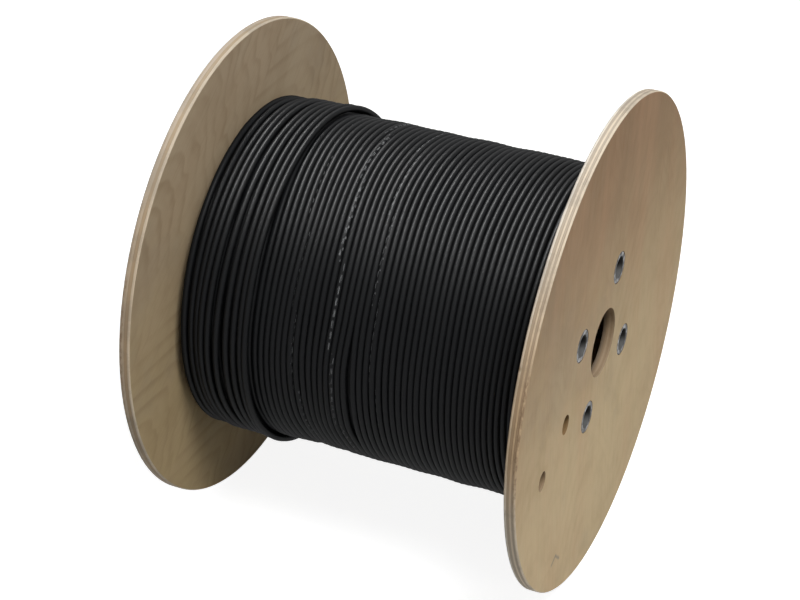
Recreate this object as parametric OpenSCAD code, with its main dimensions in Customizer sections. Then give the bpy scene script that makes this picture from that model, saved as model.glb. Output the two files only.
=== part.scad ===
// Wooden cable drum, wound with single-core cable.
// Two plywood flanges are clamped on a cardboard core tube by four threaded tie rods.
// Each rod ends in a nut, sunk in a pressed steel cup that is let in flush with the flange.
// The tight rods draw the middle of each flange in, so its rim stands out like a shallow dish.
// The drum lies on its rims with its axis along X, and the origin is the middle of that axis.
// The near flange, with the two cable holes, is the one at +X. Sizes are in millimetres.

/* [Flanges] */
// Diameter of the plywood flanges
flange_d = 400; // [360:5:480]
// Thickness of the plywood
ply_t = 9; // [8:0.5:15]
// How far the tie rods draw the middle of a flange in from its rim
flange_draw = 4; // [1:0.5:6]
// Bevel on the two edges of the rim
rim_bevel = 0.8; // [0.3:0.1:2]
// Diameter of the arbor hole through the middle of both flanges
arbor_d = 56; // [30:1:70]

/* [Core] */
// Outside diameter of the core tube
core_d = 154; // [150:1:180]
// Wall of the core tube
core_wall = 5; // [3:0.5:8]
// Winding width between the flanges, at the core
winding_w = 295; // [200:5:400]
// Depth of the seat routed in each flange for the end of the tube
seat_depth = 3; // [1:0.5:5]

/* [Cable] */
// Outside diameter of the cable
cable_d = 5.3; // [4:0.1:6.5]
// Full layers of cable on the core
layers = 12; // [6:1:14]
// Turns in the loose last layer, which starts at the far flange
loose_turns = 10; // [2:1:20]
// Spacing of the loose turns
loose_pitch = 7.4; // [7:0.1:9]

/* [Tie rods] */
// Diameter of the threaded rods
rod_d = 8; // [6:1:10]
// Angle of the first rod, from straight down
rod_turn = 60; // [0:5:85]
// Depth of a nut's top below the face of the flange
nut_sink = 4.3; // [2:0.1:6]
// Length of rod that stands out of its nut
rod_proud = 1; // [0:0.1:2]
// Thickness of the cups' steel
cup_t = 1.2; // [0.8:0.1:2]
// Width of the lip round each cup
cup_lip_w = 4.2; // [3:0.1:5]
// Room in a cup round the corners of its nut, for a socket
socket_room = 1.3; // [1:0.1:2]
// Wood left between a cup's hole and the seat of the core tube
web_w = 1.4; // [1:0.1:4]

/* [Cable holes] */
// Diameter of the holes for the inner and the outer end of the cable
cable_hole_d = 16; // [10:1:18]

/* [Fits] */
// Gap round pieces that slot together, and between the cable and the core
clearance = 0.3; // [0.2:0.05:0.5]
// Gap between the end turns of the cable and the flanges
end_gap = 0.8; // [0.7:0.1:1.5]

/* [Hidden] */
rods = [0 : 3];
rod_step = 90;
rim_r = flange_d / 2;
core_r = core_d / 2;
inner_z = winding_w / 2;
outer_z = inner_z + ply_t;

// A nut follows its rod in the proportions of a standard nut, and a cup follows its nut
nut_af_ratio = 1.625;
nut_h_ratio = 0.8125;
nut_af = nut_af_ratio * rod_d;
nut_h = nut_h_ratio * rod_d;
nut_corner_d = nut_af / cos(30);
rod_hole_d = rod_d + 2 * clearance;
cup_bore_d = nut_corner_d + 2 * socket_room;
cup_body_d = cup_bore_d + 2 * cup_t;
cup_lip_d = cup_bore_d + 2 * cup_lip_w;
cup_depth = nut_sink + nut_h + cup_t;
cup_hole_d = cup_body_d + 2 * clearance;
lip_hole_d = cup_lip_d + 2 * clearance;

// The rods stand just inside the seat of the core tube
seat_r = core_r - core_wall - clearance;
seat_w = core_wall + 2 * clearance;
rod_r = seat_r - web_w - cup_hole_d / 2;
rod_end_z = outer_z - nut_sink + rod_proud;

// Layers of cable bed into each other, so each adds less than a diameter. Neighbour turns are made a
// little too thick for their spacing, so that they join.
bed_ratio = 0.9;
join_ratio = 1.04;
bore_r = core_r + clearance;
layer_rise = bed_ratio * cable_d;
first_r = bore_r + (cable_d + clearance) / 2;
turn_r = first_r + (layers - 1) * layer_rise;
winding_r = turn_r + cable_d / 2;
loose_r = turn_r + cable_d;
turns = 1 + floor(2 * end_turn_z(turn_r) / cable_d);
turn_pitch = 2 * end_turn_z(turn_r) / (turns - 1);
turn_d = join_ratio * turn_pitch;

// One cable hole opens beside the core and one beside the last full layer, half way between two rods
cable_hole_turn = rod_turn + (2 + 1 / 2) * rod_step;
hole_shift = 0.2 * cable_d;
inner_hole_r = bore_r + cable_hole_d / 2 + hole_shift;
outer_hole_r = winding_r + cable_hole_d / 2 - hole_shift;
cut = 1;
$fn = 96;

fitting_names = ["tie_rod_", "near_cup_", "far_cup_", "near_nut_", "far_nut_"];

// How far a flange stands out from its middle, at radius r
function draw_at(r) = flange_draw * max(0, r - core_r) / (rim_r - core_r);

// Distance from the middle of the drum to the last turn of a layer at radius r
function end_turn_z(r) = inner_z + draw_at(r) - end_gap - cable_d / 2;

// Lays a shape made round the Z axis on its side, with its top at the near flange
module near_side() {
    rotate([0, 90, 0]) children();
}

// The same for the far flange
module far_side() {
    rotate([0, 90, 0]) mirror([0, 0, 1]) children();
}

// Places a shape on rod i
module at_rod(i) {
    rotate([0, 0, rod_turn + i * rod_step]) translate([rod_r, 0, 0]) children();
}

// Half section of a flange: flat where the core clamps it, dished from there to the rim
module flange_section() {
    bevel_draw = draw_at(rim_r - rim_bevel);
    polygon([
        [arbor_d / 2, inner_z],
        [core_r, inner_z],
        [rim_r - rim_bevel, inner_z + bevel_draw],
        [rim_r, inner_z + flange_draw + rim_bevel],
        [rim_r, outer_z + flange_draw - rim_bevel],
        [rim_r - rim_bevel, outer_z + bevel_draw],
        [core_r, outer_z],
        [arbor_d / 2, outer_z]
    ]);
}

// Flange with the seat of the core tube and the stepped holes of the cups
module flange_disc() {
    difference() {
        rotate_extrude() flange_section();
        rotate_extrude()
            translate([seat_r, inner_z - cut]) square([seat_w, seat_depth + cut]);
        for (i = rods) at_rod(i) {
            translate([0, 0, inner_z - cut]) cylinder(d = cup_hole_d, h = ply_t + 2 * cut);
            translate([0, 0, outer_z - cup_t]) cylinder(d = lip_hole_d, h = cup_t + cut);
        }
    }
}

module cable_hole(r) {
    rotate([0, 0, cable_hole_turn]) translate([r, 0, inner_z - cut])
        cylinder(d = cable_hole_d, h = ply_t + flange_draw + 2 * cut);
}

module near_flange() {
    color("burlywood") near_side() difference() {
        flange_disc();
        cable_hole(inner_hole_r);
        cable_hole(outer_hole_r);
    }
}

module far_flange() {
    color("burlywood") far_side() flange_disc();
}

// Spiral-wound cardboard tube, seated in both flanges
module core_tube() {
    length = winding_w + 2 * seat_depth;
    color("tan") near_side() difference() {
        cylinder(d = core_d, h = length, center = true);
        cylinder(d = core_d - 2 * core_wall, h = length + 2 * cut, center = true);
    }
}

// Half section of the winding. The end turn of each layer shows at the flanges, and the turns of the
// last full layer show outside. On those lie the loose turns, which start at the far flange.
module winding_section() {
    first_z = end_turn_z(first_r);
    last_z = end_turn_z(turn_r);
    bed_h = loose_r - turn_r - cable_d / 4;
    polygon([
        [bore_r, -first_z],
        [first_r, -first_z],
        [turn_r, -last_z],
        [turn_r, last_z],
        [first_r, first_z],
        [bore_r, first_z]
    ]);
    for (k = [0 : layers - 2]) {
        r = first_r + k * layer_rise;
        for (side = [-1, 1])
            translate([r, side * end_turn_z(r)]) circle(d = turn_d);
    }
    for (i = [0 : turns - 1])
        translate([turn_r, -last_z + i * turn_pitch]) circle(d = turn_d);
    translate([turn_r - cut, -last_z])
        square([bed_h + cut, loose_turns * loose_pitch]);
    for (i = [0 : loose_turns - 1])
        translate([loose_r, -last_z + (i + 0.5) * loose_pitch]) circle(d = cable_d);
}

module cable_winding() {
    color([0.1, 0.1, 0.1]) near_side() rotate_extrude() winding_section();
}

module tie_rod(i) {
    color("silver") near_side() at_rod(i)
        cylinder(d = rod_d, h = 2 * rod_end_z, center = true);
}

// Pressed cup with its lip flush in the flange and a hole in its floor for the rod
module cup() {
    translate([0, 0, outer_z]) rotate_extrude() polygon([
        [rod_hole_d / 2, -cup_depth],
        [cup_body_d / 2, -cup_depth],
        [cup_body_d / 2, -cup_t],
        [cup_lip_d / 2, -cup_t],
        [cup_lip_d / 2, 0],
        [cup_bore_d / 2, 0],
        [cup_bore_d / 2, cup_t - cup_depth],
        [rod_hole_d / 2, cup_t - cup_depth]
    ]);
}

// Hexagon nut on the floor of its cup
module nut() {
    translate([0, 0, outer_z - nut_sink - nut_h]) difference() {
        cylinder(d = nut_corner_d, h = nut_h, $fn = 6);
        translate([0, 0, -cut]) cylinder(d = rod_hole_d, h = nut_h + 2 * cut);
    }
}

near_flange();
far_flange();
core_tube();
cable_winding();
for (i = rods) {
    tie_rod(i);
    color("silver") near_side() at_rod(i) cup();
    color("silver") far_side() at_rod(i) cup();
    color("gray") near_side() at_rod(i) nut();
    color("gray") far_side() at_rod(i) nut();
}
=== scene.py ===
import math

import bpy
import numpy as np
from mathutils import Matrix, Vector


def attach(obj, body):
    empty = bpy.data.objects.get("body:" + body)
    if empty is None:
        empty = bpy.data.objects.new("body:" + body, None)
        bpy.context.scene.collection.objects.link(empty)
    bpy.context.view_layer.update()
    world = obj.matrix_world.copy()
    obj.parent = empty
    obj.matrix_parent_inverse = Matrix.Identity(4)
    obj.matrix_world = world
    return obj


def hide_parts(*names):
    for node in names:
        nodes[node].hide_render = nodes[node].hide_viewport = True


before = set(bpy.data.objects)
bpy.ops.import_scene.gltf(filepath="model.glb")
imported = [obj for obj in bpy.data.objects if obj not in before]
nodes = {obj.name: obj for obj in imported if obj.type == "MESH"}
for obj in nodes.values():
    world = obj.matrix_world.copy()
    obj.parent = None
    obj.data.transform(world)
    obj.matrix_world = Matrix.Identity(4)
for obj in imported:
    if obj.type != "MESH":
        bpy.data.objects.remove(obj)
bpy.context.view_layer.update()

# Core tube. Strips of brown kraft paper, wound in a spiral on a mandrel and glued into a stiff tube.
# Its ends stand in seats routed in the two flanges, and it carries the cable.
CORE_STRIP = 0.11
CORE_SEAM_W = 0.012
KRAFT_PALE = (0.42, 0.29, 0.17, 1)
KRAFT_DEEP = (0.31, 0.205, 0.12, 1)
KRAFT_SEAM = (0.16, 0.105, 0.06, 1)


def put(tree, kind, inputs=(), **settings):
    """Adds one shader node. Settings are its options, inputs its values or the sockets that feed it."""
    node = tree.nodes.new("ShaderNode" + kind)
    for option, value in settings.items():
        setattr(node, option, value)
    for key, value in dict(inputs).items():
        if isinstance(value, bpy.types.NodeSocket):
            tree.links.new(value, node.inputs[key])
        else:
            node.inputs[key].default_value = value
    return node


def calc(tree, operation, *values):
    """One sum on numbers or sockets."""
    return put(tree, "Math", enumerate(values), operation=operation).outputs[0]


def step(tree, value, low, high, bottom=0.0, top=1.0):
    """Rises smoothly from bottom to top while the value goes from low to high."""
    inputs = enumerate((value, low, high, bottom, top))
    return put(tree, "MapRange", inputs, interpolation_type="SMOOTHSTEP").outputs[0]


def tint(tree, amount, base, other, mode="MIX"):
    """Blends a second colour over the first by the amount."""
    return put(tree, "Mix", {0: amount, 6: base, 7: other}, data_type="RGBA", blend_type=mode).outputs[2]


def split(tree, vector):
    """The three parts of a vector."""
    return put(tree, "SeparateXYZ", {0: vector}).outputs


def new_finish(name):
    """An empty material: returns it with its node tree and its shader."""
    finish = bpy.data.materials.new(name)
    finish.use_nodes = True
    return finish, finish.node_tree, finish.node_tree.nodes["Principled BSDF"]


def new_group(name, inputs, outputs):
    """An empty node group with named inputs and outputs: returns it with the sockets inside it."""
    group = bpy.data.node_groups.new(name, "ShaderNodeTree")
    for label, kind in inputs:
        group.interface.new_socket(label, in_out="INPUT", socket_type="NodeSocket" + kind)
    for label in outputs:
        group.interface.new_socket(label, in_out="OUTPUT", socket_type="NodeSocketFloat")
    return group, group.nodes.new("NodeGroupInput").outputs, group.nodes.new("NodeGroupOutput").inputs


def use(tree, group, **inputs):
    """Places a node group in a material, with its own values."""
    return put(tree, "Group", inputs, node_tree=group).outputs[0]


def streaks_group():
    """Noise drawn out along one direction, as fibres and grain are: the place is scaled by the stretch."""
    group, given, result = new_group(
        "streaks", [("Place", "Vector"), ("Stretch", "Vector"), ("Seed", "Float")], ["Streak"])
    scaled = put(group, "VectorMath", {0: given["Place"], 1: given["Stretch"]}, operation="MULTIPLY")
    noise = put(group, "TexNoise", {
        "Vector": scaled.outputs[0], "W": given["Seed"], "Scale": 1.0, "Detail": 3.0, "Roughness": 0.6,
    }, noise_dimensions="4D")
    group.links.new(noise.outputs[0], result["Streak"])
    return group


def smudges_group():
    """Cloudy patches with broken edges: wide noise, roughened by fine noise and cut to soft islands."""
    group, given, result = new_group(
        "smudges", [("Place", "Vector"), ("Spread", "Float"), ("Cover", "Float")], ["Smudge"])
    wide = put(group, "TexNoise", {
        "Vector": given["Place"], "Scale": given["Spread"], "Detail": 5.0, "Roughness": 0.62,
    })
    rough = put(group, "TexNoise", {"Vector": given["Place"], "Scale": 900.0, "Detail": 2.0})
    both = calc(group, "MULTIPLY_ADD", rough.outputs[0], 0.12, wide.outputs[0])
    edge = calc(group, "SUBTRACT", 1.06, given["Cover"])
    mask = step(group, both, edge, calc(group, "ADD", edge, 0.16))
    group.links.new(mask, result["Smudge"])
    return group


streaks = streaks_group()
smudges = smudges_group()


def kraft_board():
    """Brown paper with fibres along the tube. A dark butt seam climbs round it: it lies where x in strip
    widths plus the share of a turn is a whole number."""
    finish, tree, shader = new_finish("kraft_board")
    place = put(tree, "TexCoord").outputs["Object"]
    x, y, z = split(tree, place)
    turn = calc(tree, "DIVIDE", calc(tree, "ARCTAN2", z, y), math.tau)
    climb = calc(tree, "FRACT", calc(tree, "ADD", calc(tree, "DIVIDE", x, CORE_STRIP), turn))
    seam = step(tree, calc(tree, "PINGPONG", climb, 0.5), CORE_SEAM_W, 0.0)
    fibre = use(tree, streaks, Place=place, Stretch=(60, 700, 700), Seed=3.0)
    colour = tint(tree, step(tree, fibre, 0.35, 0.7), KRAFT_PALE, KRAFT_DEEP)
    tree.links.new(tint(tree, seam, colour, KRAFT_SEAM), shader.inputs["Base Color"])
    relief = calc(tree, "SUBTRACT", fibre, seam)
    bump = put(tree, "Bump", {"Strength": 0.4, "Distance": 0.0003, "Height": relief})
    tree.links.new(bump.outputs[0], shader.inputs["Normal"])
    shader.inputs["Roughness"].default_value = 0.85
    return finish


nodes["core_tube"].data.materials[0] = kraft_board()

# Flanges. Birch plywood discs, sawn round and lightly eased on both edges of the rim.
# The faces show the peeled veneer, and the cut edge and the holes show the plies and their glue lines.
# The tie rods clamp them on the core. The near one has a nick in its rim and a scuff low on its face.
PLY_T = 0.009
INNER_FACE = 0.1475
CLAMP_R = 0.077
RIM_R = 0.2
DRAWN_IN = 0.004
LATE_WOOD = (0.62, 0.55, 0.47, 1)
HANDLING_GREY = (0.27, 0.235, 0.19, 1)
LONG_PLY = (0.75, 0.645, 0.50, 1)
CHALK_PLY = (0.80, 0.735, 0.63, 1)
CROSS_PLY = (0.50, 0.415, 0.32, 1)
STRAW_PLY = (0.66, 0.56, 0.425, 1)
BROWN_PLY = (0.46, 0.34, 0.215, 1)
DULL_PLY = (0.55, 0.45, 0.335, 1)
GLUE = (0.26, 0.175, 0.105, 1)
DRILLED_BROWN = (0.28, 0.19, 0.108, 1)
BURNT_HOLE = (0.66, 0.56, 0.40, 1)
HOLE_SHADE = (0.07, 0.05, 0.033, 1)
# The near board's high colour is much darker than its low one: painted shade over the upper face.
NEAR_BOARD = {
    "seed": 2.0, "grain_turn": 0.0, "arch_at": 0.03, "figure": 0.10,
    "low": (0.645, 0.505, 0.305, 1), "high": (0.306, 0.194, 0.107, 1), "rose": (0.61, 0.37, 0.22, 1),
    "rim_shade": (0.74, 0.62, 0.49, 1),
    "plies": ((0.00, CHALK_PLY), (0.21, CHALK_PLY), (0.26, CROSS_PLY), (0.43, CROSS_PLY), (0.48, LONG_PLY),
              (0.62, LONG_PLY), (0.66, CROSS_PLY), (0.79, CROSS_PLY), (0.84, LONG_PLY), (1.00, LONG_PLY)),
    "glue_lines": ((0.235, 0.025), (0.455, 0.025), (0.64, 0.025), (0.815, 0.035)),
}
FAR_BOARD = {
    "seed": 40.0, "grain_turn": math.radians(58), "arch_at": 0.176, "figure": 0.36,
    "low": (0.445, 0.338, 0.184, 1), "high": (0.44, 0.345, 0.235, 1), "rose": (0.43, 0.31, 0.195, 1),
    "rim_shade": (0.93, 0.89, 0.84, 1),
    "plies": ((0.00, STRAW_PLY), (0.20, STRAW_PLY), (0.27, BROWN_PLY), (0.48, BROWN_PLY),
              (0.55, DULL_PLY), (0.76, DULL_PLY), (0.84, CROSS_PLY), (1.00, CROSS_PLY)),
    "glue_lines": ((0.235, 0.03), (0.515, 0.03), (0.80, 0.035)),
}
ARCH_HALF = 0.065
ARCH_LONG = 0.024
ARCH_WIDE = 0.016
ARCH_STRAY = 0.06
RING_STRAY = 4.0
TONE_AND_SHADE_CHANGE = (-0.09, 0.25)
CHANGE_STRAY = 0.06
PLY_STRAY = 0.08
# Each of these pairs of heights or radii runs from where a mark is nil to where it is full
RIM_BAND_FROM = (-0.05, 0.03)
RIM_SHADE_TO = (0.19, 0.06)
CHIPPED_TO = (0.10, 0.08)
SMALL_HOLES_FROM = (0.035, 0.045)
SMALL_HOLES_TO = (0.165, 0.10)
RIM_NICK = (0.1515, -0.1782, 0.0908)
NICK_W = 0.0030
SCUFF_W = 0.0022
SCUFF = ((0.1597, -0.1085, -0.1415), (0.1597, -0.0990, -0.1390), (0.1597, -0.0905, -0.1480))


def axis_distance(tree, place):
    """How far a point lies from the drum's axis."""
    _, y, z = split(tree, place)
    flat = put(tree, "CombineXYZ", {1: y, 2: z}).outputs[0]
    return put(tree, "VectorMath", {0: flat}, operation="LENGTH").outputs["Value"]


def flange_depth(tree, place, radius):
    """How deep a point lies in the dished board, from 0 at the winding side to 1 at the outside: its
    distance past the inner face, which leans out evenly from the core on, over the thickness."""
    past = calc(tree, "MAXIMUM", calc(tree, "SUBTRACT", radius, CLAMP_R), 0.0)
    face = calc(tree, "MULTIPLY_ADD", past, DRAWN_IN / (RIM_R - CLAMP_R), INNER_FACE)
    x = calc(tree, "ABSOLUTE", split(tree, place)[0])
    return calc(tree, "DIVIDE", calc(tree, "SUBTRACT", x, face), PLY_T)


def stroke_group():
    """A soft stroke between two points: the distance to the line between them, cut off at its width."""
    group, given, result = new_group(
        "stroke", [("Place", "Vector"), ("From", "Vector"), ("To", "Vector"), ("Width", "Float")],
        ["Stroke"])
    way = put(group, "VectorMath", {0: given["To"], 1: given["From"]}, operation="SUBTRACT").outputs[0]
    here = put(group, "VectorMath", {0: given["Place"], 1: given["From"]}, operation="SUBTRACT").outputs[0]
    done = put(group, "VectorMath", {0: here, 1: way}, operation="DOT_PRODUCT").outputs["Value"]
    whole = put(group, "VectorMath", {0: way, 1: way}, operation="DOT_PRODUCT").outputs["Value"]
    share = put(group, "Clamp", {0: calc(group, "DIVIDE", done, whole)}).outputs[0]
    along = put(group, "VectorMath", {0: way, "Scale": share}, operation="SCALE").outputs[0]
    gap = put(group, "VectorMath", {0: here, 1: along}, operation="DISTANCE").outputs["Value"]
    ragged = put(group, "TexNoise", {"Vector": given["Place"], "Scale": 700.0, "Detail": 2.0}).outputs[0]
    gap = calc(group, "MULTIPLY", gap, calc(group, "ADD", ragged, 0.5))
    group.links.new(step(group, gap, given["Width"], 0.0), result["Stroke"])
    return group


stroke = stroke_group()


def birch_ply(name, board):
    """Peeled veneer on the faces and a stack of plies on every cut edge, browner in the drilled holes.

    The growth lines are the contours of a row of arches along the grain, bent by noise. The veneer goes
    from its low colour to its high one as the height rises, with bands of rose. On the near board the high
    colour is much darker: painted shade over the upper face. On the far board only the tone changes.
    Half way up, the rim is painted darker and warmer, as painted shade, and its outer plies are chipped.
    """
    finish, tree, shader = new_finish(name)
    seed = board["seed"]
    place = put(tree, "TexCoord").outputs["Object"]
    grain = put(tree, "Mapping", {"Vector": place, "Rotation": (board["grain_turn"], 0, 0)}).outputs[0]
    _, across, along = split(tree, grain)
    wild = use(tree, streaks, Place=grain, Stretch=(0, 15, 6), Seed=seed)
    offset = board["arch_at"] - ARCH_STRAY / 2
    side = calc(tree, "MULTIPLY_ADD", wild, ARCH_STRAY, calc(tree, "ADD", across, offset))
    side = calc(tree, "DIVIDE", calc(tree, "PINGPONG", side, ARCH_HALF), ARCH_WIDE)
    bow = calc(tree, "SQRT", calc(tree, "MULTIPLY_ADD", side, side, 1.0))
    bow = calc(tree, "MULTIPLY_ADD", wild, RING_STRAY, bow)
    rings = calc(tree, "MULTIPLY_ADD", along, 1 / ARCH_LONG, bow)
    ring = calc(tree, "FRACT", rings)
    late = calc(tree, "MULTIPLY", step(tree, ring, 0.40, 0.84), step(tree, ring, 1.0, 0.84))
    plain = use(tree, streaks, Place=grain, Stretch=(0, 11, 8), Seed=seed + 18)
    late = calc(tree, "MULTIPLY", late, step(tree, plain, 0.42, 0.60, 0.25, 1.0))
    fibre = use(tree, streaks, Place=grain, Stretch=(0, 620, 16), Seed=seed + 9)
    pores = use(tree, streaks, Place=grain, Stretch=(0, 1500, 110), Seed=seed + 12)
    bands = use(tree, streaks, Place=grain, Stretch=(0, 16, 2.5), Seed=seed + 5)
    blotch = use(tree, streaks, Place=place, Stretch=(0, 26, 21), Seed=seed + 15)
    grey = use(tree, smudges, Place=place, Spread=9.0, Cover=0.50)

    z = split(tree, place)[2]
    # The veneer changes colour with height: on the near board it darkens upward as painted shade, on the
    # far board only its tone changes.
    height = calc(tree, "MULTIPLY_ADD", bands, CHANGE_STRAY, z)
    colour = tint(tree, step(tree, height, *TONE_AND_SHADE_CHANGE), board["low"], board["high"])
    colour = tint(tree, step(tree, bands, 0.42, 0.70, 0.0, 0.35), colour, board["rose"])
    colour = tint(tree, step(tree, blotch, 0.40, 0.70, 0.0, 0.24), colour, LATE_WOOD, "MULTIPLY")
    colour = tint(tree, calc(tree, "MULTIPLY", late, board["figure"]), colour, LATE_WOOD, "MULTIPLY")
    colour = tint(tree, step(tree, fibre, 0.45, 0.85, 0.0, 0.28), colour, LATE_WOOD, "MULTIPLY")
    colour = tint(tree, step(tree, pores, 0.68, 0.80, 0.0, 0.38), colour, LATE_WOOD, "MULTIPLY")
    colour = tint(tree, calc(tree, "MULTIPLY", grey, 0.16), colour, HANDLING_GREY)
    for start, end in zip(SCUFF, SCUFF[1:]):
        mark = use(tree, stroke, Place=place, From=start, To=end, Width=SCUFF_W)
        colour = tint(tree, calc(tree, "MULTIPLY", mark, 0.75), colour, HANDLING_GREY)

    uneven = use(tree, streaks, Place=place, Stretch=(30, 14, 14), Seed=seed + 20)
    radius = axis_distance(tree, place)
    level = calc(tree, "SUBTRACT", flange_depth(tree, place, radius), PLY_STRAY / 2)
    depth = calc(tree, "MULTIPLY_ADD", uneven, PLY_STRAY, level)
    stack = put(tree, "ValToRGB", {0: depth})
    stops = stack.color_ramp.elements
    while len(stops) < len(board["plies"]):
        stops.new(1.0)
    for stop, (at, shade) in zip(stops, board["plies"]):
        stop.position = at
        stop.color = shade
    sawn = use(tree, streaks, Place=place, Stretch=(260, 90, 90), Seed=seed + 30)
    edge_colour = tint(tree, step(tree, sawn, 0.42, 0.80, 0.0, 0.35), stack.outputs[0], CROSS_PLY)
    broken = use(tree, streaks, Place=place, Stretch=(40, 38, 38), Seed=seed + 34)
    for at, half in board["glue_lines"]:
        line = step(tree, calc(tree, "ABSOLUTE", calc(tree, "SUBTRACT", depth, at)), half, 0.4 * half)
        line = calc(tree, "MULTIPLY", line, step(tree, broken, 0.40, 0.62, 0.10, 0.75))
        edge_colour = tint(tree, line, edge_colour, GLUE)
    soil = use(tree, smudges, Place=place, Spread=24.0, Cover=0.54)
    edge_colour = tint(tree, calc(tree, "MULTIPLY", soil, 0.35), edge_colour, HANDLING_GREY)
    # Half way up, the rim is multiplied darker and warmer: painted shade.
    low_end = step(tree, z, *RIM_BAND_FROM)
    rim_shade = calc(tree, "MULTIPLY", step(tree, z, *RIM_SHADE_TO), low_end)
    edge_colour = tint(tree, rim_shade, edge_colour, board["rim_shade"], "MULTIPLY")
    chips = use(tree, streaks, Place=place, Stretch=(380, 150, 150), Seed=seed + 40)
    chips = calc(tree, "MULTIPLY", step(tree, chips, 0.42, 0.60, 0.0, 0.85), step(tree, depth, 0.62, 0.80))
    chips = calc(tree, "MULTIPLY", chips, calc(tree, "MULTIPLY", step(tree, z, *CHIPPED_TO), low_end))
    edge_colour = tint(tree, chips, edge_colour, GLUE)
    drilled = step(tree, radius, 0.95 * RIM_R, 0.90 * RIM_R, 0.0, 0.75)
    edge_colour = tint(tree, drilled, edge_colour, DRILLED_BROWN)
    # Deep in the holes, towards the winding side, the walls are painted darker: painted shade.
    hole_shade = calc(tree, "MULTIPLY", drilled, step(tree, depth, 0.50, 0.0))
    edge_colour = tint(tree, hole_shade, edge_colour, HOLE_SHADE)
    past_arbor = step(tree, radius, *SMALL_HOLES_FROM)
    small_hole = calc(tree, "MULTIPLY", past_arbor, step(tree, radius, *SMALL_HOLES_TO))
    edge_colour = tint(tree, small_hole, edge_colour, BURNT_HOLE, "MULTIPLY")
    nick = use(tree, stroke, Place=place, From=RIM_NICK, To=RIM_NICK, Width=NICK_W)
    edge_colour = tint(tree, calc(tree, "MULTIPLY", nick, 0.85), edge_colour, GLUE)

    facing = calc(tree, "ABSOLUTE", split(tree, put(tree, "NewGeometry").outputs["Normal"])[0])
    cut_edge = step(tree, facing, 0.92, 0.80)
    tree.links.new(tint(tree, cut_edge, colour, edge_colour), shader.inputs["Base Color"])
    relief = calc(tree, "MULTIPLY_ADD", late, -0.4, fibre)
    relief = put(tree, "Mix", {0: cut_edge, 2: relief, 3: sawn}).outputs[0]
    relief = calc(tree, "SUBTRACT", relief, calc(tree, "MULTIPLY", nick, 4.0))
    bump = put(tree, "Bump", {"Strength": 0.35, "Distance": 0.0002, "Height": relief})
    tree.links.new(bump.outputs[0], shader.inputs["Normal"])
    tree.links.new(step(tree, fibre, 0.3, 0.8, 0.58, 0.72), shader.inputs["Roughness"])
    shader.inputs["Specular IOR Level"].default_value = 0.06
    return finish


nodes["near_flange"].data.materials[0] = birch_ply("near_birch_ply", NEAR_BOARD)
nodes["far_flange"].data.materials[0] = birch_ply("far_birch_ply", FAR_BOARD)

# Tie rods. Four lengths of 8 mm zinc-plated steel rod with a rolled thread at each end.
# They pass through both flanges inside the core and pull the flanges on to it.
ROD_R = 0.004
ROD_END = 0.1532
ROD_RING_R = 0.06
ROD_RING_START = math.radians(60)
THREAD_LONG = 0.030
THREAD_PITCH = 0.00125
THREAD_DEEP = 0.00068
ROD_BEVEL = 0.0009
ZINC_PALE = (0.185, 0.184, 0.182, 1)
ZINC_DULL = (0.055, 0.054, 0.052, 1)
THIN_FILM = (0.24, 0.24, 0.237, 1)
# Paler on what faces up below the wood's face: painted light from above.
UP_LIGHT_GREY = (0.14, 0.14, 0.137, 1)
# Black far below the wood's face: painted shade.
DEEP_SHADE = (0.006, 0.0055, 0.005, 1)
FILM_FROM = (0.00005, 0.0005)
OUTER_FACE = INNER_FACE + PLY_T


def zinc_steel(name, sunk_colour, black_at):
    """Dull zinc plate with cloudy patches. Below the wood's face a matt sunk colour covers it, which turns
    black at a depth as painted shade, and what faces up there is painted paler, as painted light from
    above."""
    finish, tree, shader = new_finish(name)
    place = put(tree, "TexCoord").outputs["Object"]
    cloud = use(tree, smudges, Place=place, Spread=190.0, Cover=0.60)
    speck = use(tree, streaks, Place=place, Stretch=(2600, 2600, 2600), Seed=7.0)
    depth = calc(tree, "SUBTRACT", OUTER_FACE, calc(tree, "ABSOLUTE", split(tree, place)[0]))
    sunk = step(tree, depth, *FILM_FROM, 0.0, 0.95)
    deep = step(tree, depth, 0.2 * black_at, black_at, 0.0, 0.9)
    colour = tint(tree, calc(tree, "MULTIPLY", cloud, 0.9), ZINC_PALE, ZINC_DULL)
    colour = tint(tree, step(tree, speck, 0.55, 0.75, 0.0, 0.35), colour, ZINC_DULL)
    # Deep below the face the colour turns black: painted shade.
    colour = tint(tree, deep, tint(tree, sunk, colour, sunk_colour), DEEP_SHADE)
    # What faces up below the face is painted paler: painted light from above.
    up = split(tree, put(tree, "NewGeometry").outputs["Normal"])[2]
    lit_from_above = calc(tree, "MULTIPLY", sunk, step(tree, up, 0.10, 0.95, 0.0, 0.85))
    colour = tint(tree, lit_from_above, colour, UP_LIGHT_GREY)
    tree.links.new(colour, shader.inputs["Base Color"])
    tree.links.new(calc(tree, "MULTIPLY_ADD", sunk, -0.85, 0.85), shader.inputs["Metallic"])
    tree.links.new(step(tree, cloud, 0.0, 1.0, 0.36, 0.58), shader.inputs["Roughness"])
    bump = put(tree, "Bump", {"Strength": 0.15, "Distance": 0.0001, "Height": speck})
    tree.links.new(bump.outputs[0], shader.inputs["Normal"])
    shader.inputs["Specular IOR Level"].default_value = 0.08
    return finish


clean_zinc = zinc_steel("clean_zinc", sunk_colour=THIN_FILM, black_at=0.014)


def grid_faces(rows, columns, close_rows=False):
    """Four-sided faces of a grid of points that closes across its columns, and if asked across its rows."""
    i, j = np.meshgrid(np.arange(rows if close_rows else rows - 1), np.arange(columns), indexing="ij")
    after_i, after_j = (i + 1) % rows, (j + 1) % columns
    corners = (i * columns + j, after_i * columns + j, after_i * columns + after_j, i * columns + after_j)
    return np.stack(corners, -1).reshape(-1, 4)


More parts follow.
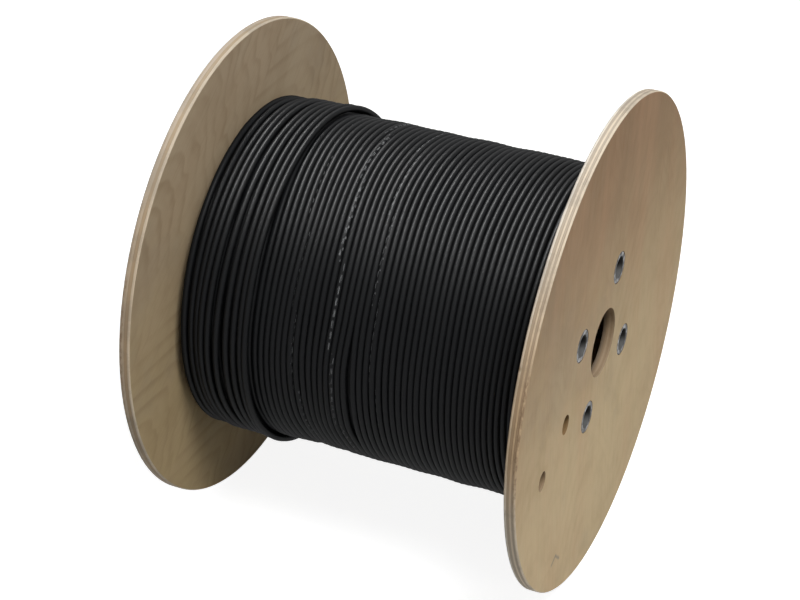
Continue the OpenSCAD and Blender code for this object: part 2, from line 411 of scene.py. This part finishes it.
def make_piece(name, points, faces, finish, slot, *stands_for):
    """Puts points and faces in a smooth mesh at the origin, on the drum's one body."""
    mesh = bpy.data.meshes.new(name)
    mesh.from_pydata(points.reshape(-1, 3).tolist(), [], faces)
    mesh.polygons.foreach_set("use_smooth", np.ones(len(mesh.polygons), bool))
    mesh.materials.append(finish)
    piece = bpy.data.objects.new(name, mesh)
    bpy.context.scene.collection.objects.link(piece)
    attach(piece, "root")
    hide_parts(*stands_for)
    return piece


def round_axis(x, radius, angle):
    """Points at a distance from the drum's axis: x along it, the angle from +Y towards +Z."""
    x, radius, angle = np.broadcast_arrays(x, radius, angle)
    return np.stack([x, radius * np.cos(angle), radius * np.sin(angle)], -1)


def rod_place(i):
    """Where rod i crosses the flanges: the rods stand on a ring, a quarter turn apart."""
    turn = ROD_RING_START + i * math.tau / 4
    return np.array([0.0, ROD_RING_R * math.sin(turn), -ROD_RING_R * math.cos(turn)])


def threaded_rod():
    """Radius over length and angle: full in the middle, and at the ends less a triangle wave that climbs
    one pitch a turn. A cone bevels the last threads. The length runs from the near end to the far end."""
    sides = 24
    steps_a_pitch = 6
    ends = np.arange(ROD_END, ROD_END - THREAD_LONG, -THREAD_PITCH / steps_a_pitch)
    length = np.concatenate([ends, np.linspace(ends[-1], -ends[-1], 12)[1:-1], -ends[::-1]])[:, None]
    angle = np.arange(sides) * math.tau / sides
    wave = np.abs((length / THREAD_PITCH - angle / math.tau) % 1 * 2 - 1)
    inside = np.clip((np.abs(length) - ROD_END + THREAD_LONG) / (2 * THREAD_PITCH), 0, 1)
    radius = ROD_R - THREAD_DEEP * wave * inside
    radius = np.minimum(radius, ROD_R - ROD_BEVEL + ROD_END - np.abs(length))
    faces = grid_faces(len(length), sides).tolist()
    rim = list(range(sides))
    last = (len(length) - 1) * sides
    return round_axis(length, radius, angle), faces + [rim, [last + j for j in reversed(rim)]]


rod_points, rod_faces = threaded_rod()
for i in range(4):
    make_piece(f"threaded_rod_{i + 1}", rod_points + rod_place(i), rod_faces, clean_zinc, "zinc_steel",
               f"tie_rod_{i + 1}")

# Cups. Pressed from 1.2 mm steel sheet, with the lip let into the face of the flange.
# The lip is rolled round at both edges, as drawn sheet is, and the floor has a hole for the rod.
# The walls are painted near black: painted shade in the recess.
CUP_T = 0.0012
CUP_BORE_R = 0.0088
CUP_LIP_R = 0.0130
CUP_DEEP = 0.012
ROD_HOLE_R = 0.0043
CUP_ROUNDING = (0.0002, 0.0002, 0.0008, 0.0011, 0.0007, 0.0002, 0.0003, 0.0018)
# Near black on the cup walls below the face: painted shade.
WALL_SHADE = (0.026, 0.025, 0.023, 1)


def rounded(corners, radii, points=6):
    """A closed outline with each corner replaced by an arc that touches both of its sides."""
    corners = np.array(corners, float)
    radii = np.array(radii, float)[:, None]
    back = np.roll(corners, 1, 0) - corners
    ahead = np.roll(corners, -1, 0) - corners
    back /= np.linalg.norm(back, axis=1, keepdims=True)
    ahead /= np.linalg.norm(ahead, axis=1, keepdims=True)
    half = np.arccos(np.clip((back * ahead).sum(1, keepdims=True), -1, 1)) / 2
    middle = back + ahead
    middle /= np.linalg.norm(middle, axis=1, keepdims=True)
    centre = corners + middle * radii / np.sin(half)
    start = corners + back * radii / np.tan(half) - centre
    end = corners + ahead * radii / np.tan(half) - centre
    t = np.linspace(0, 1, points)[None, :, None]
    sweep = (math.pi - 2 * half)[:, None]
    arc = (np.sin((1 - t) * sweep) * start[:, None] + np.sin(t * sweep) * end[:, None]) / np.sin(sweep)
    return (centre[:, None] + arc).reshape(-1, 2)


def turned(outline, sides):
    """An outline of (x, radius) points carried once round the X axis."""
    angle = np.arange(sides) * math.tau / sides
    points = round_axis(outline[:, :1], outline[:, 1:], angle)
    return points, grid_faces(len(outline), sides, close_rows=True)


def cup_outline():
    """Section of a cup, from the hole in its floor along the inside, over the lip and back down the
    outside, with every corner rounded."""
    x_lip, x_under, x_floor = OUTER_FACE, OUTER_FACE - CUP_T, OUTER_FACE - CUP_DEEP
    body = CUP_BORE_R + CUP_T
    corners = [
        (x_floor, ROD_HOLE_R), (x_floor + CUP_T, ROD_HOLE_R), (x_floor + CUP_T, CUP_BORE_R),
        (x_lip, CUP_BORE_R), (x_lip, CUP_LIP_R), (x_under, CUP_LIP_R), (x_under, body), (x_floor, body),
    ]
    return rounded(corners, CUP_ROUNDING)


shaded_zinc = zinc_steel("shaded_zinc", sunk_colour=WALL_SHADE, black_at=0.005)
cup_points, cup_faces = turned(cup_outline(), sides=64)
far_side = np.array([-1, 1, 1])
for i in range(4):
    make_piece(f"near_pressed_cup_{i + 1}", cup_points + rod_place(i), cup_faces.tolist(), shaded_zinc,
               "zinc_steel", f"near_cup_{i + 1}")
    make_piece(f"far_pressed_cup_{i + 1}", cup_points * far_side + rod_place(i),
               cup_faces[:, ::-1].tolist(), shaded_zinc, "zinc_steel", f"far_cup_{i + 1}")

# Nuts. Hexagon nuts of zinc-plated steel, chamfered on both faces and tightened on the floor of the cups.
# Each stands at its own angle, as the spanner left it.
NUT_AF = 0.013
NUT_H = 0.0065
NUT_SUNK = 0.0043
NUT_FACE_SHARE = 0.96
NUT_TURNS = (0.10, 0.62, 0.35, 0.85)
CHAMFER = math.tan(math.radians(30))
SHARP_EDGE = math.radians(25)


def hexagon_nut(turn):
    """Radius over angle is that of a hexagon. A 30 degree cone on each face cuts its corners back, by as
    much as they stand out past the circle in which the cone meets the face."""
    sides = 96
    angle = np.arange(sides) * math.tau / sides
    sixth = math.tau / 6
    flat = NUT_AF / 2 / np.cos((angle - turn) % sixth - sixth / 2)
    face = np.full(sides, NUT_FACE_SHARE * NUT_AF / 2)
    bore = np.full(sides, ROD_R - THREAD_DEEP)
    cut = (flat - face) * CHAMFER
    top = OUTER_FACE - NUT_SUNK
    low = top - NUT_H
    x = np.stack([low + 0 * cut, top + 0 * cut, top + 0 * cut, top - cut, low + cut, low + 0 * cut])
    radius = np.stack([bore, bore, face, flat, flat, face])
    return round_axis(x, radius, angle), grid_faces(6, sides, close_rows=True)


for i, turn in enumerate(NUT_TURNS):
    nut_points, nut_faces = hexagon_nut(turn)
    near_nut = make_piece(f"near_hexagon_nut_{i + 1}", nut_points + rod_place(i), nut_faces.tolist(),
                          clean_zinc, "zinc_steel", f"near_nut_{i + 1}")
    far_nut = make_piece(f"far_hexagon_nut_{i + 1}", nut_points * far_side + rod_place(i),
                         nut_faces[:, ::-1].tolist(), clean_zinc, "zinc_steel", f"far_nut_{i + 1}")
    for nut in (near_nut, far_nut):
        nut.data.set_sharp_from_angle(angle=SHARP_EDGE)

# Winding. The inner layers of the cable, in a black plastic sheath, wound tightly on the core tube.
# They show only between the turns of the last layer and at the two ends.
# The winding lies a little lower at the far flange than over the rest of the drum.
CABLE_R = 0.00265
END_GAP = 0.0008
LAYERS = 12
FIRST_R = 0.0801
TURN_R = 0.1322
FAR_TURN_R = 0.1294
FAR_SLOPE_END = -0.078
ROUND_HALF = 1.12
LAST_LAYER_BED = 0.45
CORE_GAP = 0.0001
SHEATH = (0.0030, 0.0033, 0.0037, 1)
SHEATH_WORN = (0.0068, 0.0072, 0.0078, 1)
SHEATH_WEAR_AND_SHEEN = (0.0072, 0.0077, 0.0085, 1)
PRINT_GREY = (0.42, 0.43, 0.44, 1)
PRINT_LONG = 0.064
PRINT_EVERY = 0.4488
PRINT_FROM = 0.022
PRINT_TALL = 0.034
PRINT_TWIST = 34.0
PRINT_TURN = 0.78
PRINT_FADES = (-0.06, 0.11)
PRINT_STRENGTH = (0.28, 0.70)


def end_turn(radius):
    """How far from the drum's middle the last turn lies at a radius, on the dished flange."""
    drawn = DRAWN_IN * np.maximum(0, radius - CLAMP_R) / (RIM_R - CLAMP_R)
    return INNER_FACE + drawn - END_GAP - CABLE_R


def layer_radius(x):
    """Radius of the last full layer along the drum: level, then sloping down to the far flange."""
    share = np.clip((x - FAR_SLOPE_END) / (-end_turn(FAR_TURN_R) - FAR_SLOPE_END), 0, 1)
    return TURN_R + (FAR_TURN_R - TURN_R) * share


def winding_outline():
    """Section of the inner layers: a row of rounds up each end, and a line just under the last layer."""
    bend = np.linspace(-ROUND_HALF, ROUND_HALF, 7)

    def end_rounds(top_r):
        layer = np.linspace(FIRST_R, top_r, LAYERS)[:, None]
        x = end_turn(layer) + CABLE_R * np.cos(bend)
        return np.stack([x, layer + CABLE_R * np.sin(bend)], -1).reshape(-1, 2)

    near, far = end_rounds(TURN_R - 2 * CABLE_R), end_rounds(FAR_TURN_R - 2 * CABLE_R)
    x_top = np.linspace(near[-1, 0], -far[-1, 0], 24)
    top = np.stack([x_top, layer_radius(x_top) - LAST_LAYER_BED * CABLE_R], -1)
    bore = FIRST_R - CABLE_R - CORE_GAP
    inside = np.array([(-far[0, 0], bore), (near[0, 0], bore)])
    return np.concatenate([inside, near, top, (far * (-1, 1))[::-1]])


def cable_sheath(name, printed):
    """Black sheath with a faint matt shine, dulled in streaks along the cable. The printed cable is painted
    paler where it faces out, wear and a painted sheen along the crest, and has a row of small pale marks,
    broken up by noise, which comes round again at a fixed length and drifts round the cable. Low on the
    drum the marks are painted fainter, as painted shade."""
    finish, tree, shader = new_finish(name)
    place = put(tree, "TexCoord").outputs["Object"]
    dust = use(tree, smudges, Place=place, Spread=42.0, Cover=0.56)
    if printed:
        along = put(tree, "UVMap", uv_map="along_cable").outputs[0]
        u, v, _ = split(tree, along)
        drawn = use(tree, streaks, Place=along, Stretch=(18, 26, 0), Seed=1.0)
    else:
        drawn = use(tree, streaks, Place=place, Stretch=(160, 30, 30), Seed=1.0)
    worn = calc(tree, "MULTIPLY", step(tree, drawn, 0.40, 0.75), 0.55)
    colour = tint(tree, calc(tree, "MAXIMUM", worn, calc(tree, "MULTIPLY", dust, 0.8)), SHEATH, SHEATH_WORN)
    if printed:
        # The crest facing out is painted paler: wear and a painted sheen.
        facing_out = step(tree, calc(tree, "ABSOLUTE", calc(tree, "SUBTRACT", v, 0.5)), 0.28, 0.04)
        colour = tint(tree, facing_out, colour, SHEATH_WEAR_AND_SHEEN)
        since = calc(tree, "FLOORED_MODULO", calc(tree, "SUBTRACT", u, PRINT_FROM), PRINT_EVERY)
        stretch = calc(tree, "LESS_THAN", since, PRINT_LONG)
        twist = calc(tree, "FRACT", calc(tree, "MULTIPLY_ADD", u, 1 / PRINT_TWIST, PRINT_TURN))
        off_row = calc(tree, "ABSOLUTE", calc(tree, "SUBTRACT", v, twist))
        row = step(tree, off_row, PRINT_TALL, 0.6 * PRINT_TALL)
        ticks = use(tree, streaks, Place=along, Stretch=(800, 14, 0), Seed=4.0)
        broken = step(tree, ticks, 0.46, 0.60)
        mark = calc(tree, "MULTIPLY", calc(tree, "MULTIPLY", stretch, row), broken)
        # The marks are painted fainter lower on the drum: painted shade.
        kept = step(tree, split(tree, place)[2], *PRINT_FADES, *PRINT_STRENGTH)
        colour = tint(tree, calc(tree, "MULTIPLY", mark, kept), colour, PRINT_GREY)
    tree.links.new(colour, shader.inputs["Base Color"])
    bump = put(tree, "Bump", {"Strength": 0.04, "Distance": 0.0002, "Height": drawn})
    tree.links.new(bump.outputs[0], shader.inputs["Normal"])
    shader.inputs["Specular IOR Level"].default_value = 0.0
    shader.inputs["Coat Weight"].default_value = 0.19
    shader.inputs["Coat Roughness"].default_value = 0.44
    return finish


winding_points, winding_faces = turned(winding_outline(), sides=144)
make_piece("inner_layers", winding_points, winding_faces.tolist(), cable_sheath("inner_sheath", False),
           "cable_sheath", "cable_winding")

# Last layers. One length of 5.3 mm black cable, wound from the near flange to the far one and back.
# Each turn of the full layer steps over to the next, partly on the upper front and partly underneath.
# The ten turns of the way back are loose: they lie apart and at uneven heights.
TURNS = 55
STEPS_A_TURN = 96
TUBE_SIDES = 12
TURN_START = math.radians(-60)
STEP_AT = (-0.080, 0.0, 0.060, 0.110, 0.140)
STEP_WIDE = (0.0074, 0.0056, 0.0046, 0.0014, 0.0)
STEP_TURNS_AT = (-0.080, -0.040, 0.050)
STEP_BEGINS = (78, 88, 113)
STEP_ENDS = (146, 146, 160)
UNDERSTEP_BEGINS = math.radians(235)
UNDERSTEP_ENDS = math.radians(298)
LEAN_AT = (-0.070, -0.020, 0.050, 0.090)
LEAN_WIDE = (0.0, 0.0014, 0.0020, 0.0004)
SWING_AT = (-0.07, -0.01)
SWING_SHARE = (0.2, 1.0)
SWING_WIDE = 0.0030
SINK_DEEP = 0.0011
DRIFT_WIDE = 0.0007
DRIFT_HIGH = 0.0013
WAVES = 5
START_DIP = 1.8
START_DIP_TURNS = 0.12
# Each of these pairs of angles or places runs from where a move is nil to where it is full
LEAN_FROM = (-0.6, 0.5)
LEAN_TO = (1.75, 1.05)
DRIFT_FROM = (TURN_START, TURN_START + 0.6)
DRIFT_TO = (TURN_START + 5.9, TURN_START + 5.3)
SWING_LEFT_OF = (-0.004, -0.008)
SWING_FROM = (2.7, 3.1)
SWING_TO = (3.75, 3.45)
SINK_RIGHT_OF = (-0.062, -0.055)
SINK_LEFT_OF = (-0.022, -0.028)
SINK_FROM = (3.4, 3.9)
SINK_TO = (5.1, 4.8)
MILLIMETRE = 0.001
LOOSE_X = (-140.4, -134.0, -127.8, -121.6, -116.0, -108.8, -103.5, -97.2, -91.0, -85.0, -79.0)
LOOSE_RISE = (5.8, 4.4, 4.4, 6.3, 5.0, 4.7, 4.6, 5.4, 6.4, 6.6, 5.6)
LAY_ANGLES = (-20, 45, 75, 100, 130, 160, 195, 245)
LOOSE_LAY = (
    (0, 0.0, 0.0, 0.0, 0.3, 0.2, 0.0, 0),
    (0, -0.8, -1.2, 0.0, 0.6, 0.4, -0.4, 0),
    (0, -1.6, 0.2, 0.0, 0.0, -0.6, -1.4, 0),
    (0, 1.0, -1.0, 0.4, -0.2, -2.0, -3.0, 0),
    (0, 0.4, -0.6, 0.0, -0.5, -1.8, -3.4, 0),
    (0, -1.4, 0.0, 0.0, 0.0, -1.0, -3.6, 0),
    (0, 2.0, -0.2, 0.0, 1.4, 1.4, 0.6, 0),
    (0, 1.6, -1.2, 0.0, 1.4, 1.8, 0.6, 0),
    (0, 0.6, -0.6, 0.0, 1.0, 1.4, 0.8, 0),
    (0, 0.2, -1.0, 0.0, 0.0, 0.6, -0.6, 0),
)
MOVE_BEGINS = math.radians(262)
LAST_MOVE_BEGINS = math.radians(205)
LAST_MOVE_ENDS = math.radians(290)
CLIMB_ENDS = math.radians(80)
CABLE_END_SHORT = 18


def ease(value, low, high):
    """Goes smoothly from 0 at low to 1 at high."""
    t = np.clip((value - low) / (high - low), 0, 1)
    return t * t * (3 - 2 * t)


def waver(turn, angle, seed, turns_across):
    """Slow drift of the turns, between -1 and 1: a sum of waves over turn number and angle."""
    rng = np.random.default_rng(seed)
    total = 0
    for _ in range(WAVES):
        across = rng.uniform(0.3, 1.0) * math.tau / turns_across
        around = rng.integers(1, 5)
        total = total + np.sin(across * turn + around * angle + rng.uniform(0, math.tau)) / WAVES
    return total


def full_layer():
    """Place of the last full layer, as x, radius and angle, from the near flange to the far one.

    x = start of the turn + step over on the upper front + the rest of the step, out of sight underneath.
    The step is widest at the left and dies away at the near flange. Some turns lean aside behind it. In
    front, the turns left of the middle swing to the left, and lower down a few of them lie sunk. The start
    of the cable dips under the layer.
    """
    total = np.linspace(TURNS * math.tau, 0, TURNS * STEPS_A_TURN + 1)
    turn = np.minimum(np.floor(total / math.tau), TURNS - 1)
    angle = total - turn * math.tau + TURN_START
    far, near = -end_turn(FAR_TURN_R), end_turn(TURN_R)
    pitch = (near - far) / TURNS
    base = far + pitch * turn
    visible = np.interp(base, STEP_AT, STEP_WIDE)
    begin = np.radians(np.interp(base, STEP_TURNS_AT, STEP_BEGINS))
    end = np.radians(np.interp(base, STEP_TURNS_AT, STEP_ENDS))
    x = base + visible * ease(angle, begin, end)
    x += (pitch - visible) * ease(angle, UNDERSTEP_BEGINS, UNDERSTEP_ENDS)
    lean = np.interp(base, LEAN_AT, LEAN_WIDE)
    x += lean * ease(angle, *LEAN_TO) * ease(angle, *LEAN_FROM)
    free = ease(angle, *DRIFT_FROM) * ease(angle, *DRIFT_TO)
    x += DRIFT_WIDE * free * waver(turn, angle, seed=5, turns_across=9)
    left = ease(base, *SWING_LEFT_OF) * np.interp(base, SWING_AT, SWING_SHARE)
    x -= SWING_WIDE * left * ease(angle, *SWING_FROM) * ease(angle, *SWING_TO)
    radius = layer_radius(x) + DRIFT_HIGH * free * waver(turn, angle, seed=8, turns_across=6)
    sunk = ease(base, *SINK_RIGHT_OF) * ease(base, *SINK_LEFT_OF)
    radius -= SINK_DEEP * sunk * ease(angle, *SINK_FROM) * ease(angle, *SINK_TO)
    dip = ease(total, (TURNS - START_DIP_TURNS) * math.tau, TURNS * math.tau)
    radius -= START_DIP * CABLE_R * dip
    return x, radius, angle


def smooth_rows(rows):
    """Each row averaged with its neighbours, with weights that fall off as a raised cosine."""
    reach = 7
    weights = np.hanning(2 * reach + 1)
    padded = np.pad(rows, ((0, 0), (reach, reach)), mode="edge")
    return sum(w * padded[:, k:k + rows.shape[1]] for k, w in enumerate(weights)) / weights.sum()


def loose_layer():
    """Place of the loose turns, as x, radius and angle, from the far flange on in the same sense of
    winding. Each turn strays from its place as the hand laid it, and moves on to the next place at the
    back. Where turns come closer than the cable is thick, the later one climbs on the one before."""
    count = len(LOOSE_LAY)
    done = np.arange(STEPS_A_TURN) * math.tau / STEPS_A_TURN
    angle = TURN_START + math.tau - done
    at = np.array(LOOSE_X)[:, None] * MILLIMETRE
    rise = np.array(LOOSE_RISE)[:, None] * MILLIMETRE
    stray = np.stack([np.interp(np.degrees(angle), LAY_ANGLES, row) for row in LOOSE_LAY]) * MILLIMETRE
    move = np.tile(ease(done, MOVE_BEGINS, math.tau), (count, 1))
    move[-1] = ease(done, LAST_MOVE_BEGINS, LAST_MOVE_ENDS)
    x = at[:-1] + (at[1:] - at[:-1]) * move + smooth_rows(stray)
    x[0] -= (x[0] + end_turn(FAR_TURN_R)) * ease(done, CLIMB_ENDS, 0)
    radius = layer_radius(x) + rise[:-1] + (rise[1:] - rise[:-1]) * move
    radius[0] -= rise[0] * ease(done, CLIMB_ENDS, 0)
    for i in range(1, count):
        gap = np.abs(x[i] - x[i - 1])
        climb = np.sqrt(np.maximum(0, 4 * CABLE_R ** 2 - gap ** 2))
        radius[i] = np.maximum(radius[i], radius[i - 1] + climb)
    radius[1:] = smooth_rows(radius)[1:]
    kept = slice(1, -CABLE_END_SHORT)
    return x.ravel()[kept], radius.ravel()[kept], np.tile(angle, count)[kept]


def cable_along(path, radial):
    """A circle carried along a path, on axes square to it: one close to radial, one across both."""
    ahead = np.gradient(path, axis=0)
    ahead /= np.linalg.norm(ahead, axis=1, keepdims=True)
    out = radial - (radial * ahead).sum(1, keepdims=True) * ahead
    out /= np.linalg.norm(out, axis=1, keepdims=True)
    across = np.cross(ahead, out)
    around = np.arange(TUBE_SIDES) * math.tau / TUBE_SIDES + math.pi
    ring = out[:, None] * np.cos(around)[:, None] + across[:, None] * np.sin(around)[:, None]
    return path[:, None] + CABLE_R * ring


x, radius, angle = (np.concatenate(pair) for pair in zip(full_layer(), loose_layer()))
path = round_axis(x, radius, angle)
cable_points = cable_along(path, round_axis(0 * x, 1 + 0 * x, angle))
rows = len(path)
cable_faces = grid_faces(rows, TUBE_SIDES)[:, ::-1].tolist()
first_end = list(range(TUBE_SIDES))
last_end = [(rows - 1) * TUBE_SIDES + j for j in first_end]
wound = make_piece("wound_cable", cable_points, cable_faces + [first_end[::-1], last_end],
                   cable_sheath("printed_sheath", True), "cable_sheath", "cable_winding")


def lay_along(mesh, path):
    """Gives the cable a flat map: u is the length along it in metres, v goes once round it."""
    length = np.concatenate([[0], np.cumsum(np.linalg.norm(np.diff(path, axis=0), axis=1))])
    i, j = np.meshgrid(np.arange(len(path) - 1), np.arange(TUBE_SIDES), indexing="ij")
    u = np.stack([length[i], length[i], length[i + 1], length[i + 1]], -1)
    v = np.stack([j, j + 1, j + 1, j], -1) / TUBE_SIDES
    quads = np.stack([u, v], -1)
    flat = np.zeros((len(mesh.loops), 2), np.float32)
    flat[:quads.size // 2] = quads.reshape(-1, 2)
    mesh.uv_layers.new(name="along_cable").data.foreach_set("uv", flat.ravel())


lay_along(wound.data, path)

# Floor and light. A plain white floor under the drum and a surround that is brightest overhead.
# A wide soft lamp hangs in front on the right, and a small one stands low on the right.
# A long strip hangs behind on the left, and lights only what shines.
FLOOR_Z = -0.2
FLOOR_HALF = 40.0
FLOOR_SHADE = (0.47, 0.47, 0.47, 1)
FLOOR_GLOW = 0.88
SURROUND_LEVEL = 0.05
SURROUND_OVERHEAD = 0.34


def seen_ray(tree):
    """1 for what the eye, a mirror or glass sees, and 0 for the light that falls on a matt surface."""
    rays = put(tree, "LightPath").outputs
    seen = calc(tree, "MAXIMUM", rays["Is Camera Ray"], rays["Is Glossy Ray"])
    return calc(tree, "MAXIMUM", seen, rays["Is Transmission Ray"])


def white_floor():
    """Matt grey under its light, with a glow that brings it up to white where it is seen."""
    finish, tree, shader = new_finish("white_floor")
    shader.inputs["Base Color"].default_value = FLOOR_SHADE
    shader.inputs["Roughness"].default_value = 1.0
    shader.inputs["Specular IOR Level"].default_value = 0.0
    shader.inputs["Emission Color"].default_value = (1, 1, 1, 1)
    tree.links.new(calc(tree, "MULTIPLY", seen_ray(tree), FLOOR_GLOW), shader.inputs["Emission Strength"])
    return finish


floor_mesh = bpy.data.meshes.new("floor")
corner_signs = ((-1, -1), (1, -1), (1, 1), (-1, 1))
floor_corners = [(sx * FLOOR_HALF, sy * FLOOR_HALF, FLOOR_Z) for sx, sy in corner_signs]
floor_mesh.from_pydata(floor_corners, [], [(0, 1, 2, 3)])
floor_mesh.materials.append(white_floor())
floor = bpy.data.objects.new("floor", floor_mesh)
bpy.context.scene.collection.objects.link(floor)


def soft_lamp(name, place, towards, width, length, power, only_gloss=False):
    """A rectangular lamp at a place, facing another, with its width level."""
    lamp = bpy.data.lights.new(name, "AREA")
    lamp.shape = "RECTANGLE"
    lamp.size = width
    lamp.size_y = length
    lamp.energy = power
    holder = bpy.data.objects.new(name, lamp)
    way = Vector(place) - Vector(towards)
    holder.location = place
    holder.rotation_euler = way.to_track_quat("Z", "Y").to_euler()
    holder.visible_camera = False
    holder.visible_diffuse = not only_gloss
    bpy.context.scene.collection.objects.link(holder)


soft_lamp("overhead_lamp", place=(0.85, -0.68, 2.07), towards=(0, 0, 0),
          width=0.8, length=0.8, power=41)
soft_lamp("strip_lamp", place=(-0.80, 0.70, 2.14), towards=(-0.80, 0.70, 0),
          width=0.4, length=3.0, power=345, only_gloss=True)
soft_lamp("low_lamp", place=(0.66, -0.15, -0.06), towards=(0.16, -0.08, -0.10),
          width=0.24, length=0.24, power=0.22)


def bright_overhead():
    """The surround: its light rises with the sine of the height, and where it is seen it is white."""
    surround = bpy.data.worlds.new("surround")
    surround.use_nodes = True
    tree = surround.node_tree
    height = calc(tree, "MAXIMUM", split(tree, put(tree, "TexCoord").outputs["Generated"])[2], 0.0)
    light = calc(tree, "MULTIPLY_ADD", height, SURROUND_OVERHEAD, SURROUND_LEVEL)
    strength = put(tree, "Mix", {0: seen_ray(tree), 2: light, 3: 1.0}).outputs[0]
    background = tree.nodes["Background"]
    background.inputs["Color"].default_value = (1, 1, 1, 1)
    tree.links.new(strength, background.inputs["Strength"])
    return surround


bpy.context.scene.world = bright_overhead()
bpy.context.scene.view_settings.view_transform = "Standard"

# Camera. It stands in front of the drum, to the right of its middle and well above it.
# Its place and lens were fitted to the rims, the arbor hole and the fittings in the picture.
CAMERA_AZIMUTH = math.radians(23.174)
CAMERA_ELEVATION = math.radians(33.817)
CAMERA_DISTANCE = 1.6549
CAMERA_TURN = math.radians(0.640)
CAMERA_NOD = math.radians(0.070)
CAMERA_LENS = 92.39
SENSOR_WIDE = 36


def from_angles(azimuth, elevation):
    """Unit vector from the drum towards a viewer: azimuth 0 is in front, and 90 degrees is at +X."""
    level = math.cos(elevation)
    return Vector((math.sin(azimuth) * level, -math.cos(azimuth) * level, math.sin(elevation)))


camera = bpy.data.objects.new("camera", bpy.data.cameras.new("camera"))
camera.data.lens = CAMERA_LENS
camera.data.sensor_width = SENSOR_WIDE
camera.location = from_angles(CAMERA_AZIMUTH, CAMERA_ELEVATION) * CAMERA_DISTANCE
facing_back = from_angles(CAMERA_AZIMUTH + CAMERA_TURN, CAMERA_ELEVATION + CAMERA_NOD)
camera.rotation_euler = facing_back.to_track_quat("Z", "Y").to_euler()
bpy.context.scene.collection.objects.link(camera)
bpy.context.scene.camera = camera
